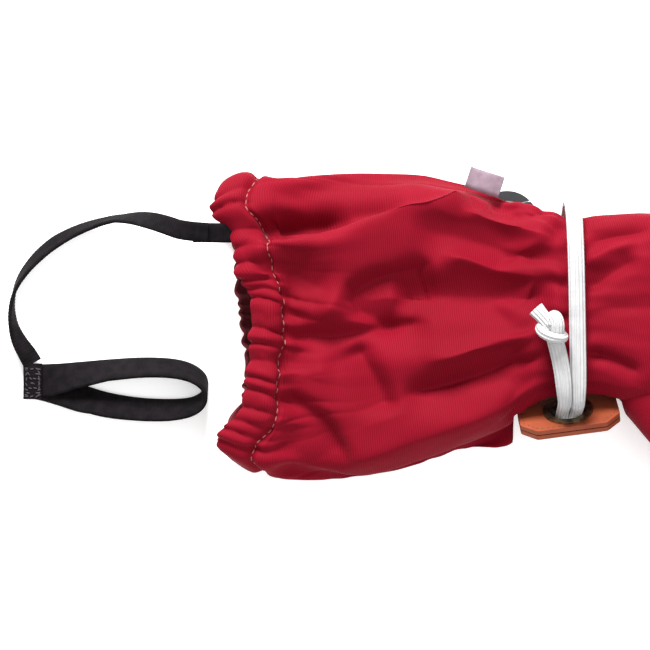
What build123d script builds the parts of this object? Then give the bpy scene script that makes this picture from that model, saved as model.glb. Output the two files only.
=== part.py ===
"""Ski mitten for a child: gathered cuff, wrist cord with a leather cord lock, leash and clip.

The mitten lies palm down. X runs from the cuff to the finger tips, Z is up, the thumb points
towards +X and -Y. The origin is under the middle of the flat palm patch. Millimetres.
"""

import os
from math import cos, radians, sin

from build123d import *

os.makedirs("parts", exist_ok=True)

# Driving dimensions -------------------------------------------------------------------------

CUFF_LENGTH = 126.0  # hem to wrist cord
HAND_LENGTH = 140.0  # wrist cord to finger tips
CUFF_WIDTH = 110.0
HAND_WIDTH = 84.0
THUMB_WIDTH = 33.0
HAND_THICKNESS = 36.0

WRIST_X = -70.0  # the cord's plane, behind the middle of the palm patch
WRIST_WIDTH = 62.7  # drawn in by the cord
WRIST_HEIGHT = 28.0
WRIST_Y = 4.5
MID_Z = 20.0  # plane of the side seams

FABRIC = 1.0  # shell cloth
PADDING = 4.5
LINING = 1.0
LAYER_GAP = 0.05

HEM_WIDTH = 12.0
ELASTIC_THICKNESS = 1.0
ELASTIC_WIDTH = 8.0

PATCH_THICKNESS = 1.2
PATCH_LENGTH = 62.0
PATCH_WIDTH = 44.0

CORD_RADIUS = 2.2
CORD_CLEARANCE = 0.5
KNOT_RADIUS = 4.6

TAB_LENGTH = 36.0
TAB_WIDTH = 22.0
TAB_PLY = 1.6
TAB_CUT = 5.4  # corners cut off at 45 degrees
TAB_CORNER = 2.0
DISC_INSET = 2.5
TAB_TURN = 7.5  # the tab's long edge against X
TAB_LEAN = 60.0  # the tab's plane against the floor
EYELET_HOLE = 6.5
EYELET_FLANGE = 9.0
EYELET_LIP = 0.8
LOCK_TRAVEL = 3.6
LOCK_CLEARANCE = 2.0
LOCK_OFFSET = 8.15  # the eyelet's middle beyond the wrist's side

STRAP_WIDTH = 7.0
STRAP_THICKNESS = 1.4
LOOP_BAND = 12.0
LOOP_THICKNESS = 1.5
LOOP_LEAN = 30.0
STITCH_LENGTH = 13.0
PLY_GAP = 0.4

LABEL_LENGTH = 13.0
LABEL_WIDTH = 7.5
LABEL_THICKNESS = 0.6

CLIP_THICKNESS = 2.8
CLIP_BAR = 3.6
CLIP_FLOOR = 0.4
CLIP_GAP = 0.4

SHELL_STEPS = 3  # lofted stations between two stated sections

# Shape of the mitten ------------------------------------------------------------------------

hem_x = WRIST_X - CUFF_LENGTH
tip_x = WRIST_X + HAND_LENGTH
casing_x = hem_x + HEM_WIDTH
palm_z = PATCH_THICKNESS

# Stations along X: share of the length from the wrist, width, height, middle in Y.
CUFF_STATIONS = [
    (1.00, 0.86 * CUFF_WIDTH, 26.0, -2.0),
    (0.89, 0.99 * CUFF_WIDTH, 34.0, -3.0),
    (0.64, 1.00 * CUFF_WIDTH, 37.0, -4.0),
    (0.38, 0.98 * CUFF_WIDTH, 35.0, -2.5),
    (0.23, 0.84 * CUFF_WIDTH, 31.6, 1.5),
    (0.14, 0.63 * CUFF_WIDTH, 30.0, 5.5),
]
WRIST_STATION = (WRIST_WIDTH, WRIST_HEIGHT, WRIST_Y)
WRIST_GROOVE = 8.0  # half length of the straight stretch under the cord
HAND_STATIONS = [
    (0.16, 0.80 * HAND_WIDTH, HAND_THICKNESS - 4.0, 4.5),
    (0.28, 0.90 * HAND_WIDTH, HAND_THICKNESS, 2.0),
    (0.45, 1.00 * HAND_WIDTH, HAND_THICKNESS, 0.0),
    (0.70, 0.98 * HAND_WIDTH, HAND_THICKNESS, 0.0),
    (0.86, 0.82 * HAND_WIDTH, HAND_THICKNESS - 5.0, 0.5),
    (0.95, 0.60 * HAND_WIDTH, HAND_THICKNESS - 12.0, 1.0),
    (1.00, 0.30 * HAND_WIDTH, HAND_THICKNESS - 24.0, 1.0),
]


def all_stations():
    """Every stated section of the cuff and hand as (x, width, height, middle y)."""
    stations = [(WRIST_X - CUFF_LENGTH * s, w, h, y) for s, w, h, y in CUFF_STATIONS]
    stations.append((WRIST_X - WRIST_GROOVE, *WRIST_STATION))
    stations.append((WRIST_X + WRIST_GROOVE, *WRIST_STATION))
    stations += [(WRIST_X + HAND_LENGTH * s, w, h, y) for s, w, h, y in HAND_STATIONS]
    return stations


def eased(low, high, t):
    """A smooth step between two neighbouring sections."""
    s = t * t * (3 - 2 * t)
    blend = 0.5 * (s + t)
    return [a + (b - a) * blend for a, b in zip(low, high)]


def section(x, width, height, y, inset):
    """One closed outline of the bag, across X."""
    w = width - 2 * inset
    h = height - 2 * inset
    outline = Plane(origin=(x, y, MID_Z), x_dir=(0, 1, 0), z_dir=(1, 0, 0))
    return outline * RectangleRounded(w, h, 0.46 * min(w, h))


def bag(inset):
    """The cuff and hand as one closed solid, drawn in from the outer face by the inset."""
    stations = all_stations()
    first = stations[0]
    outlines = []
    if inset > 0:
        outlines.append(section(first[0] - 2.0, *first[1:], inset))
    for low, high in zip(stations, stations[1:]):
        for i in range(SHELL_STEPS):
            x = low[0] + (high[0] - low[0]) * i / SHELL_STEPS
            if x < tip_x - inset:
                outlines.append(section(x, *eased(low[1:], high[1:], i / SHELL_STEPS), inset))
    outlines.append(section(tip_x - inset, *stations[-1][1:], 0.4 * inset))
    return loft(outlines, ruled=True)


# Thumb: stations along its own axis as (distance, width, height), all in the seam plane.
THUMB_TURN = -45.0
THUMB_ROOT = (-38.0, -25.0)
THUMB_STATIONS = [
    (-20.0, 0.40 * THUMB_WIDTH, 12.0),
    (0.0, 0.94 * THUMB_WIDTH, 24.0),
    (24.0, THUMB_WIDTH, 26.0),
    (46.0, 0.97 * THUMB_WIDTH, 26.0),
    (61.0, 0.84 * THUMB_WIDTH, 22.0),
    (70.0, 0.60 * THUMB_WIDTH, 16.0),
    (74.0, 0.32 * THUMB_WIDTH, 9.0),
]
THUMB_CUT = 41.0  # where the thumb panels are sewn to the hand, along the thumb's axis


def thumb_plane(distance):
    """Plane across the thumb at a distance along its axis."""
    a = radians(THUMB_TURN)
    origin = (THUMB_ROOT[0] + distance * cos(a), THUMB_ROOT[1] + distance * sin(a), MID_Z)
    return Plane(origin=origin, x_dir=(-sin(a), cos(a), 0), z_dir=(cos(a), sin(a), 0))


def thumb(inset):
    """The thumb as one closed solid, drawn in from the outer face by the inset."""
    outlines = []
    root = THUMB_STATIONS[0][0]
    last = THUMB_STATIONS[-1][0]
    for distance, width, height in THUMB_STATIONS:
        shrink = 0.4 * inset if distance in (root, last) else inset
        at = min(distance, last - inset)
        w = width - 2 * shrink
        h = height - 2 * shrink
        outlines.append(thumb_plane(at) * RectangleRounded(w, h, 0.46 * min(w, h)))
        if at < distance:
            break
    return loft(outlines, ruled=True)


# Cord lock: the tab's frame, then the hollow in the mitten's side that it sits in.
lock_centre = Vector(WRIST_X + 0.2, WRIST_Y - WRIST_WIDTH / 2 - LOCK_OFFSET, MID_Z)
tab_along = Vector(cos(radians(TAB_TURN)), sin(radians(TAB_TURN)), 0)
tab_normal = Vector(
    -sin(radians(TAB_TURN)) * sin(radians(TAB_LEAN)),
    cos(radians(TAB_TURN)) * sin(radians(TAB_LEAN)),
    cos(radians(TAB_LEAN)),
)
cord_rise = Vector(0, 0.30, 0.954).normalized()  # how the two strands run through the eyelet
tab_plane = Plane(origin=lock_centre, x_dir=tab_along, z_dir=tab_normal)
tab_thickness = 2 * TAB_PLY + PLY_GAP


def lock_hollow(inset):
    """The room the lock needs over its travel, as a box in the tab's frame."""
    slide = LOCK_TRAVEL * cord_rise.dot(tab_normal)
    back = 30.0 + inset
    front = tab_thickness / 2 + EYELET_LIP + LOCK_CLEARANCE + inset
    length = TAB_LENGTH + 2 * LOCK_CLEARANCE + 2 * inset
    width = TAB_WIDTH + 2 * LOCK_TRAVEL + 2 * LOCK_CLEARANCE + 2 * inset
    middle = (front - back - slide) / 2
    return tab_plane * Pos(0, 0, middle) * Box(length, width + 12.0, front + back + slide)


def body_solid(inset):
    """Cuff, hand and thumb joined, hollowed for the lock and flat under the palm."""
    floor_z = palm_z + inset
    under = Pos(0, 0, floor_z - 50.0) * Box(600.0, 400.0, 100.0)
    return bag(inset) + thumb(inset) - lock_hollow(inset) - under


outer = body_solid(0.0)
shell_inside = body_solid(FABRIC)
padding_outside = body_solid(FABRIC + LAYER_GAP)
padding_inside = body_solid(FABRIC + PADDING)
lining_outside = body_solid(FABRIC + PADDING + LAYER_GAP)
lining_inside = body_solid(FABRIC + PADDING + LINING)
cuff_lining_inside = body_solid(FABRIC + LINING)

shell_layer = outer - shell_inside
padding_layer = padding_outside - padding_inside
lining_layer = lining_outside - lining_inside
cuff_lining_layer = padding_outside - cuff_lining_inside

BIG = 400.0


def slab_x(low, high):
    """Everything between two planes across X."""
    return Pos((low + high) / 2, 0, MID_Z) * Box(high - low, BIG, BIG)


def half_z(upper):
    """Everything above or below the side seams."""
    return Pos(0, 0, MID_Z + (BIG / 2 if upper else -BIG / 2)) * Box(2 * BIG, BIG, BIG)


crotch = thumb_plane(THUMB_CUT)
thumb_side = crotch * Pos(0, 0, BIG / 2) * Box(THUMB_WIDTH + 2.0, BIG, BIG) - bag(0.0)
cuff_zone = slab_x(casing_x, WRIST_X)
hand_zone = slab_x(WRIST_X, tip_x + 1) - thumb_side
pad_start = WRIST_X + WRIST_GROOVE
padded_zone = slab_x(pad_start, tip_x + 1) - thumb_side
cuff_lining_zone = slab_x(casing_x, pad_start)

# Shell panels -------------------------------------------------------------------------------

shell_panels = {}
seam_halves = (("back", half_z(True)), ("palm", half_z(False)))
for zone_name, zone in (("cuff", cuff_zone), ("hand", hand_zone), ("thumb", thumb_side)):
    for side_name, half in seam_halves:
        with BuildPart() as panel:
            add(shell_layer)
            add(zone, mode=Mode.INTERSECT)
            add(half, mode=Mode.INTERSECT)
        panel.part.label = f"{zone_name}_{side_name}_panel"
        shell_panels[panel.part.label] = panel.part
        export_step(panel.part, f"parts/{panel.part.label}.step")

# Padding and linings ------------------------------------------------------------------------

with BuildPart() as hand_insulation:
    add(padding_layer)
    add(padded_zone, mode=Mode.INTERSECT)
hand_insulation.part.label = "hand_insulation"
export_step(hand_insulation.part, "parts/hand_insulation.step")

with BuildPart() as thumb_insulation:
    add(padding_layer)
    add(thumb_side, mode=Mode.INTERSECT)
thumb_insulation.part.label = "thumb_insulation"
export_step(thumb_insulation.part, "parts/thumb_insulation.step")

with BuildPart() as hand_lining:
    add(lining_layer)
    add(padded_zone, mode=Mode.INTERSECT)
hand_lining.part.label = "hand_lining"
export_step(hand_lining.part, "parts/hand_lining.step")

with BuildPart() as thumb_lining:
    add(lining_layer)
    add(thumb_side, mode=Mode.INTERSECT)
thumb_lining.part.label = "thumb_lining"
export_step(thumb_lining.part, "parts/thumb_lining.step")

with BuildPart() as cuff_lining:
    add(cuff_lining_layer)
    add(cuff_lining_zone, mode=Mode.INTERSECT)
cuff_lining.part.label = "cuff_lining"
export_step(cuff_lining.part, "parts/cuff_lining.step")

# Hem: a folded casing with an elastic band running inside it --------------------------------

elastic_x = (hem_x + (HEM_WIDTH - ELASTIC_WIDTH) / 2, hem_x + (HEM_WIDTH + ELASTIC_WIDTH) / 2)
elastic_inset = FABRIC / 2
casing_inside = 2 * elastic_inset + ELASTIC_THICKNESS
channel = bag(elastic_inset - LAYER_GAP) - bag(elastic_inset + ELASTIC_THICKNESS + LAYER_GAP)
channel = channel & slab_x(elastic_x[0] - LAYER_GAP, elastic_x[1] + LAYER_GAP)
casing_layer = (bag(0.0) - bag(casing_inside)) & slab_x(hem_x, casing_x)
elastic_layer = bag(elastic_inset) - bag(elastic_inset + ELASTIC_THICKNESS)
elastic_zone = slab_x(*elastic_x)

with BuildPart() as hem_casing:
    add(casing_layer)
    add(channel, mode=Mode.SUBTRACT)
hem_casing.part.label = "hem_casing"
export_step(hem_casing.part, "parts/hem_casing.step")

with BuildPart() as hem_elastic:
    add(elastic_layer)
    add(elastic_zone, mode=Mode.INTERSECT)
hem_elastic.part.label = "hem_elastic"
export_step(hem_elastic.part, "parts/hem_elastic.step")

# Palm patch ---------------------------------------------------------------------------------

with BuildPart() as palm_patch:
    with BuildSketch():
        RectangleRounded(PATCH_LENGTH, PATCH_WIDTH, 12.0)
    extrude(amount=PATCH_THICKNESS)
palm_patch.part.label = "palm_patch"
export_step(palm_patch.part, "parts/palm_patch.step")


# Wrist cord ---------------------------------------------------------------------------------

top_z = MID_Z + WRIST_HEIGHT / 2 + CORD_RADIUS + CORD_CLEARANCE
under_z = MID_Z - WRIST_HEIGHT / 2 - CORD_RADIUS - CORD_CLEARANCE
wrist_edge = WRIST_STATION[2] + WRIST_STATION[0] / 2 + CORD_RADIUS + CORD_CLEARANCE
strand_gap = 2 * CORD_RADIUS + 0.4


def on_rise(x, z):
    """Point of a strand inside the eyelet's line at a height."""
    y = lock_centre.Y + cord_rise.Y * (z - lock_centre.Z) / cord_rise.Z
    return (x, y, z)


first_x = lock_centre.X + strand_gap / 2
second_x = lock_centre.X - strand_gap / 2
knot_centre = Vector(WRIST_X - 7.5, -3.0, top_z + 4.8)
cord_points = [
    (first_x + 3.6, 12.0, under_z),
    on_rise(first_x, under_z),
    on_rise(first_x, top_z),
    (WRIST_X + 1.4, wrist_edge, top_z),
    (WRIST_X + 1.2, wrist_edge, under_z),
    on_rise(second_x, under_z),
    on_rise(second_x, top_z + 0.4),
    (second_x - 1.6, -15.0, top_z + 2.6),
    (knot_centre.X, knot_centre.Y, knot_centre.Z),
]
TIGHT_TURN = 3.2
EDGE_TURN = 12.0
cord_radii = [TIGHT_TURN, 9.0, EDGE_TURN, EDGE_TURN, TIGHT_TURN, 7.0, 14.0]

with BuildPart() as cord_knot:
    with Locations(Location(knot_centre)):
        Sphere(KNOT_RADIUS)
cord_knot.part.label = "cord_knot"
export_step(cord_knot.part, "parts/cord_knot.step")


def cord_tube(points, radii):
    """A round tube along straight runs joined by tangent arcs."""
    line = FilletPolyline(*points, radius=radii) if radii else Polyline(*points)
    start = Plane(origin=line @ 0, z_dir=line % 0)
    return sweep(start * Circle(CORD_RADIUS), path=line)


wrist_tube = cord_tube(cord_points, cord_radii)
print("wrist cord radii", cord_radii)
with BuildPart() as wrist_cord:
    add(wrist_tube)
    add(cord_knot.part, mode=Mode.SUBTRACT)
wrist_cord.part.label = "wrist_cord"
export_step(wrist_cord.part, "parts/wrist_cord.step")

tail_points = [
    (knot_centre.X, knot_centre.Y, knot_centre.Z),
    (knot_centre.X - 5.4, knot_centre.Y + 6.4, knot_centre.Z - 0.6),
]
tail_tube = cord_tube(tail_points, None)
with BuildPart() as cord_tail:
    add(tail_tube)
    add(cord_knot.part, mode=Mode.SUBTRACT)
cord_tail.part.label = "cord_tail"
export_step(cord_tail.part, "parts/cord_tail.step")

# The cord's fixed end is sewn under a patch beneath the wrist.
ANCHOR_SIZE = (12.0, 9.0, 3.4)
anchor_mid = MID_Z - WRIST_HEIGHT / 2 - ANCHOR_SIZE[2] / 2
with BuildPart() as cord_anchor:
    with Locations((cord_points[0][0], cord_points[0][1] + ANCHOR_SIZE[1] / 2, anchor_mid)):
        Box(*ANCHOR_SIZE)
    fillet(cord_anchor.edges().filter_by(Axis.Z), 2.0)
    add(outer, mode=Mode.SUBTRACT)
    add(wrist_cord.part, mode=Mode.SUBTRACT)
cord_anchor.part.label = "cord_anchor"
export_step(cord_anchor.part, "parts/cord_anchor.step")

# Cord lock: two leather plies, a brass eyelet with its washer and a star-cut rubber grip ----


def tab_outline(inset):
    """The tab's eight-sided outline, drawn in by the inset."""
    with BuildSketch() as outline:
        Rectangle(TAB_LENGTH - 2 * inset, TAB_WIDTH - 2 * inset)
        chamfer(outline.vertices(), TAB_CUT)
        fillet(outline.vertices(), TAB_CORNER)
    return outline.sketch_local


tab_shape = tab_outline(0.0)
disc_shape = tab_outline(DISC_INSET)
ply_offset = (TAB_PLY + PLY_GAP) / 2
tab_hole = EYELET_HOLE + 0.9
for ply_name, side in (("lock_tab_upper", 1), ("lock_tab_lower", -1)):
    with BuildPart() as ply:
        with BuildSketch(tab_plane.offset(side * ply_offset - TAB_PLY / 2)):
            add(tab_shape)
            Circle(tab_hole, mode=Mode.SUBTRACT)
        extrude(amount=TAB_PLY)
    ply.part.label = ply_name
    export_step(ply.part, f"parts/{ply_name}.step")

tab_face = TAB_PLY + PLY_GAP / 2
with BuildPart() as lock_eyelet:
    with BuildSketch(tab_plane.offset(tab_face)):
        Circle(EYELET_FLANGE)
        Circle(EYELET_HOLE, mode=Mode.SUBTRACT)
    extrude(amount=EYELET_LIP)
    with BuildSketch(tab_plane.offset(-tab_face)):
        Circle(tab_hole)
        Circle(EYELET_HOLE, mode=Mode.SUBTRACT)
    extrude(amount=2 * tab_face)
lock_eyelet.part.label = "lock_eyelet"
export_step(lock_eyelet.part, "parts/lock_eyelet.step")

with BuildPart() as lock_washer:
    with BuildSketch(tab_plane.offset(-tab_face - EYELET_LIP)):
        Circle(EYELET_FLANGE)
        Circle(EYELET_HOLE, mode=Mode.SUBTRACT)
    extrude(amount=EYELET_LIP)
lock_washer.part.label = "lock_washer"
export_step(lock_washer.part, "parts/lock_washer.step")

with BuildPart() as lock_grip_disc:
    with BuildSketch(tab_plane.offset(-PLY_GAP / 2)):
        add(disc_shape)
        Circle(tab_hole, mode=Mode.SUBTRACT)
    extrude(amount=PLY_GAP)
lock_grip_disc.part.label = "lock_grip_disc"
export_step(lock_grip_disc.part, "parts/lock_grip_disc.step")

# Leash: a twisted ribbed strap, from the hem to the elastic wrist loop ----------------------

ANCHOR_IN = 14.9  # from the hem's upper side
hem_width, hem_y = CUFF_STATIONS[0][1], CUFF_STATIONS[0][3]
anchor_y = hem_y + hem_width / 2 - ANCHOR_IN
anchor_z = MID_Z + CUFF_STATIONS[0][2] / 2 - casing_inside / 2
ANCHOR_REACH = 9.0
PIVOT_BACK = 6.0
BODY_GAP = 0.3
pivot_x = hem_x - PIVOT_BACK

with BuildPart() as leash_anchor:
    with BuildSketch(Plane.XY.offset(anchor_z - casing_inside / 2 + 0.2)):
        with Locations((hem_x - ANCHOR_REACH / 2, anchor_y)):
            Rectangle(ANCHOR_REACH, STRAP_WIDTH)
    extrude(amount=casing_inside - 0.4)
leash_anchor.part.label = "leash_anchor"
export_step(leash_anchor.part, "parts/leash_anchor.step")

strap_top = anchor_z + casing_inside / 2 - 0.2 + BODY_GAP + STRAP_THICKNESS / 2
stitch_z = CLIP_FLOOR + LOOP_THICKNESS + BODY_GAP + STRAP_THICKNESS / 2
STITCH_CENTRE = (hem_x - 68.3, -23.0)

# Stations of the strap's middle line with the roll of its width about that line.
strap_stations = [
    (hem_x - 3.0, anchor_y, strap_top, 0),
    (hem_x - 12.0, anchor_y + 0.5, strap_top, 0),
    (hem_x - 18.0, 33.2, 30.0, 10),
    (hem_x - 23.8, 35.0, 23.8, 25),
    (hem_x - 30.0, 36.3, 16.0, 50),
    (hem_x - 36.0, 36.4, 9.0, 72),
    (hem_x - 42.5, 35.3, 5.4, 70),
    (hem_x - 51.0, 32.6, 4.1, 60),
    (hem_x - 59.7, 28.2, 3.8, 52),
    (hem_x - 66.5, 22.6, 3.9, 56),
    (hem_x - 72.0, 16.0, 4.2, 68),
    (hem_x - 75.0, 9.8, 4.4, 84),
    (hem_x - 76.0, 3.0, 4.4, 96),
    (hem_x - 75.2, -3.2, 4.2, 112),
    (hem_x - 73.0, -8.8, 3.9, 136),
    (hem_x - 70.2, -13.0, 3.4, 160),
    (STITCH_CENTRE[0], STITCH_CENTRE[1] + STITCH_LENGTH / 2, stitch_z, 180),
]


def strap_section(i):
    """The strap's flat section at one station, square to its line and rolled about it."""
    here = Vector(*strap_stations[i][:3])
    before = Vector(*strap_stations[max(i - 1, 0)][:3])
    after = Vector(*strap_stations[min(i + 1, len(strap_stations) - 1)][:3])
    along = (after - before).normalized()
    if i == len(strap_stations) - 1:
        along = Vector(0, -1, 0)
    if i == 0:
        along = Vector(-1, 0, 0)
    level = Vector(-along.Y, along.X, 0).normalized()
    roll = radians(strap_stations[i][3])
    across = level * cos(roll) + along.cross(level) * sin(roll)
    return Plane(origin=here, x_dir=across, z_dir=along) * Rectangle(STRAP_WIDTH, STRAP_THICKNESS)


strap_solid = loft([strap_section(i) for i in range(len(strap_stations))], ruled=True)
with BuildPart() as leash_strap:
    add(strap_solid)
leash_strap.part.label = "leash_strap"
export_step(leash_strap.part, "parts/leash_strap.step")

with BuildPart() as leash_box_stitch:
    with BuildSketch(Plane.XY.offset(stitch_z - STRAP_THICKNESS / 2)):
        with Locations(STITCH_CENTRE):
            Rectangle(STRAP_WIDTH, STITCH_LENGTH)
    extrude(amount=STRAP_THICKNESS)
leash_box_stitch.part.label = "leash_box_stitch"
export_step(leash_box_stitch.part, "parts/leash_box_stitch.step")

TONGUE_LENGTH = 20.0
loop_lean = Vector(0, -sin(radians(LOOP_LEAN)), cos(radians(LOOP_LEAN)))
loop_outline = [
    (hem_x - 60.5, -20.0),
    (hem_x - 40.0, -15.0),
    (hem_x - 18.0, -14.0),
    (hem_x - 5.5, -18.0),
    (hem_x - 3.5, -25.0),
    (hem_x - 9.0, -30.0),
    (hem_x - 28.0, -30.0),
    (hem_x - 49.0, -27.0),
]
with BuildPart() as leash_wrist_loop:
    with BuildSketch(Plane.XY.offset(CLIP_FLOOR)):
        with BuildLine():
            FilletPolyline(*loop_outline, radius=3.0, close=True)
        make_face()
        offset(amount=-LOOP_THICKNESS, mode=Mode.SUBTRACT)
    extrude(amount=LOOP_BAND, dir=loop_lean)
    with BuildSketch(Plane.XY.offset(CLIP_FLOOR)):
        with Locations((STITCH_CENTRE[0] - STRAP_WIDTH / 2 + TONGUE_LENGTH / 2, STITCH_CENTRE[1])):
            Rectangle(TONGUE_LENGTH, STITCH_LENGTH - 0.5)
    extrude(amount=LOOP_THICKNESS)
leash_wrist_loop.part.label = "leash_wrist_loop"
export_step(leash_wrist_loop.part, "parts/leash_wrist_loop.step")

# Side label: a folded woven label caught in the cuff's side seam ----------------------------

LABEL_TURN = -18.0
LABEL_BACK = 30.0  # behind the wrist
LABEL_OUT = 1.3  # its middle beyond the side seam
label_y = CUFF_STATIONS[4][3] + CUFF_STATIONS[4][1] / 2 + LABEL_OUT
label_place = Pos(WRIST_X - LABEL_BACK, label_y, MID_Z) * Rot(0, 0, LABEL_TURN)
label_blank = label_place * Box(LABEL_LENGTH, LABEL_WIDTH, LABEL_THICKNESS)
with BuildPart() as side_label:
    add(label_blank)
    add(outer, mode=Mode.SUBTRACT)
side_label.part.label = "side_label"
export_step(side_label.part, "parts/side_label.step")

# Pairing clip: a ring with a sprung gate, turning on a rolled tape under the cuff -----------

CLIP_CENTRE = (WRIST_X - 21.0, 35.0)
CLIP_EYE = (WRIST_X - 22.0, 24.0)
CLIP_OUTER = 11.5
EYE_WALL = 2.0
TAPE_RADIUS = 1.8
GATE_START = -20.0
GATE_END = 48.0
clip_mid = CLIP_OUTER - CLIP_BAR / 2
clip_floor = Plane.XY.offset(CLIP_FLOOR)


def on_ring(angle, radius=clip_mid):
    """Point of the clip's ring at an angle."""
    turn = radians(angle)
    return (CLIP_CENTRE[0] + radius * cos(turn), CLIP_CENTRE[1] + radius * sin(turn))


gate_pivot = on_ring(GATE_START)
gate_tip = on_ring(GATE_END)
gate_reach = (Vector(*gate_tip) - Vector(*gate_pivot)).length
wedge = [
    CLIP_CENTRE,
    on_ring(GATE_START, 30.0),
    on_ring((GATE_START + GATE_END) / 2, 60.0),
    on_ring(GATE_END + 25.0, 40.0),
]

# The gate's free end is an arc about its pivot, so that it swings inwards past the frame.
gate_rooms = []
for reach in (gate_reach, gate_reach + CLIP_GAP):
    with BuildSketch(clip_floor) as room:
        with BuildLine():
            Polyline(*wedge, close=True)
        make_face()
        with Locations(gate_pivot):
            Circle(reach, mode=Mode.INTERSECT)
    gate_rooms.append(room.sketch_local)
gate_shape, gate_cut = gate_rooms

with BuildPart() as clip_frame:
    with BuildSketch(clip_floor):
        with Locations(CLIP_CENTRE):
            Circle(CLIP_OUTER)
            Circle(CLIP_OUTER - CLIP_BAR, mode=Mode.SUBTRACT)
        add(gate_cut, mode=Mode.SUBTRACT)
        with Locations(gate_pivot):
            Circle(CLIP_BAR / 2 + CLIP_GAP, mode=Mode.SUBTRACT)
        with Locations(CLIP_EYE):
            Circle(TAPE_RADIUS + CLIP_GAP + EYE_WALL)
            Circle(TAPE_RADIUS + CLIP_GAP, mode=Mode.SUBTRACT)
    extrude(amount=CLIP_THICKNESS)
clip_frame.part.label = "clip_frame"
export_step(clip_frame.part, "parts/clip_frame.step")

with BuildPart() as clip_gate:
    with BuildSketch(clip_floor):
        with Locations(CLIP_CENTRE):
            Circle(CLIP_OUTER)
            Circle(CLIP_OUTER - CLIP_BAR, mode=Mode.SUBTRACT)
        add(gate_shape, mode=Mode.INTERSECT)
        with Locations(gate_pivot):
            Circle(CLIP_BAR / 2)
    extrude(amount=CLIP_THICKNESS)
clip_gate.part.label = "clip_gate"
export_step(clip_gate.part, "parts/clip_gate.step")

with BuildPart() as clip_tape:
    with BuildSketch(clip_floor):
        with Locations(CLIP_EYE):
            Circle(TAPE_RADIUS)
    extrude(amount=MID_Z - CLIP_FLOOR)
    add(outer, mode=Mode.SUBTRACT)
    add(shell_inside, mode=Mode.SUBTRACT)
clip_tape.part.label = "clip_tape"
export_step(clip_tape.part, "parts/clip_tape.step")
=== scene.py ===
import math

import bmesh
import bpy
import numpy as np
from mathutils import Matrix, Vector, noise


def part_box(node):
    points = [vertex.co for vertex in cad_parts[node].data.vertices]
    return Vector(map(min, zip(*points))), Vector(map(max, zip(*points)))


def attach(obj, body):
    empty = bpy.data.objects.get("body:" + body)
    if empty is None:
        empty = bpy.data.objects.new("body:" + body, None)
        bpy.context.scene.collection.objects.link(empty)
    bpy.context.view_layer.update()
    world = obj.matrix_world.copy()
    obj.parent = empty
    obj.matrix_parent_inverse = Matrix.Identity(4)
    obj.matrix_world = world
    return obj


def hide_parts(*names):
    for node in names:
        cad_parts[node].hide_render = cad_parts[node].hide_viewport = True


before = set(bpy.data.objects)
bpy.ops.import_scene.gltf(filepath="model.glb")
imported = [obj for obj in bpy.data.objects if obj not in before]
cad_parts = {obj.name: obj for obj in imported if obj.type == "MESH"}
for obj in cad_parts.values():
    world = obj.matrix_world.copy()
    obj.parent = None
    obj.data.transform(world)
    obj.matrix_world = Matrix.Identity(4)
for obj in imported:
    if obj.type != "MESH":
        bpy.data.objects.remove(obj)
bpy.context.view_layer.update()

MM = 0.001
SEED = 7.3
NOISE = "ShaderNodeTexNoise"
CELLS = "ShaderNodeTexVoronoi"
ONE_WAVE = 0.314  # the wave texture's scale at which it makes one rib to a unit

# Everything below is worked out in millimetres in the mitten's own frame: X from the cuff to
# the finger tips, Z up, palm down. It becomes metres only where a mesh is made.

WRIST_X = -70.0
SEAM_Z = 20.0
HEM_X = 1000.0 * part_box("hem_casing")[0][0]
TIP_X = 1000.0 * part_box("hand_back_panel")[1][0]


# Small tools ---------------------------------------------------------------------------------

def smooth(t):
    t = np.clip(t, 0.0, 1.0)
    return t * t * (3.0 - 2.0 * t)


def curve_through(points):
    """A smooth monotone curve y(x) through the stated points."""
    x = np.array([p[0] for p in points], float)
    y = np.array([p[1] for p in points], float)
    step = np.diff(x)
    slope = np.diff(y) / step
    tangent = np.zeros_like(y)
    tangent[0], tangent[-1] = slope[0], slope[-1]
    for i in range(1, len(x) - 1):
        if slope[i - 1] * slope[i] > 0:
            tangent[i] = 2.0 / (1.0 / slope[i - 1] + 1.0 / slope[i])

    def value(at):
        at = np.clip(np.asarray(at, float), x[0], x[-1])
        i = np.clip(np.searchsorted(x, at, side="right") - 1, 0, len(step) - 1)
        h = step[i]
        t = (at - x[i]) / h
        a = (1 + 2 * t) * (1 - t) ** 2 * y[i] + t * (1 - t) ** 2 * h * tangent[i]
        return a + t * t * (3 - 2 * t) * y[i + 1] + t * t * (t - 1) * h * tangent[i + 1]

    return value


def near_line(px, py, points):
    """Signed distance to a broken line (left of its direction is positive) and place along it."""
    best = np.full(px.shape, 1e9)
    side = np.zeros(px.shape)
    place = np.zeros(px.shape)
    pts = np.array(points, float)
    lengths = np.hypot(*(pts[1:] - pts[:-1]).T)
    total = lengths.sum()
    run = 0.0
    for (ax, ay), (bx, by), length in zip(pts[:-1], pts[1:], lengths):
        dx, dy = (bx - ax) / length, (by - ay) / length
        along = np.clip((px - ax) * dx + (py - ay) * dy, 0.0, length)
        ox, oy = px - ax - along * dx, py - ay - along * dy
        dist = np.hypot(ox, oy)
        closer = dist < best
        best = np.where(closer, dist, best)
        side = np.where(closer, np.sign(dx * oy - dy * ox), side)
        place = np.where(closer, (run + along) / total, place)
        run += length
    return best * side, place


def waves(px, py, pz, scale, octaves=3):
    """Repeatable soft noise at every point, from about -1 to 1."""
    out = np.empty(px.size)
    flat = zip((px / scale[0]).ravel(), (py / scale[1]).ravel(), (pz / scale[2]).ravel())
    for i, (a, b, c) in enumerate(flat):
        out[i] = noise.fractal(Vector((a + SEED, b, c)), 0.6, 2.1, octaves)
    return out.reshape(px.shape)


def link(name, mesh):
    obj = bpy.data.objects.new(name, mesh)
    bpy.context.scene.collection.objects.link(obj)
    return obj


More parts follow.
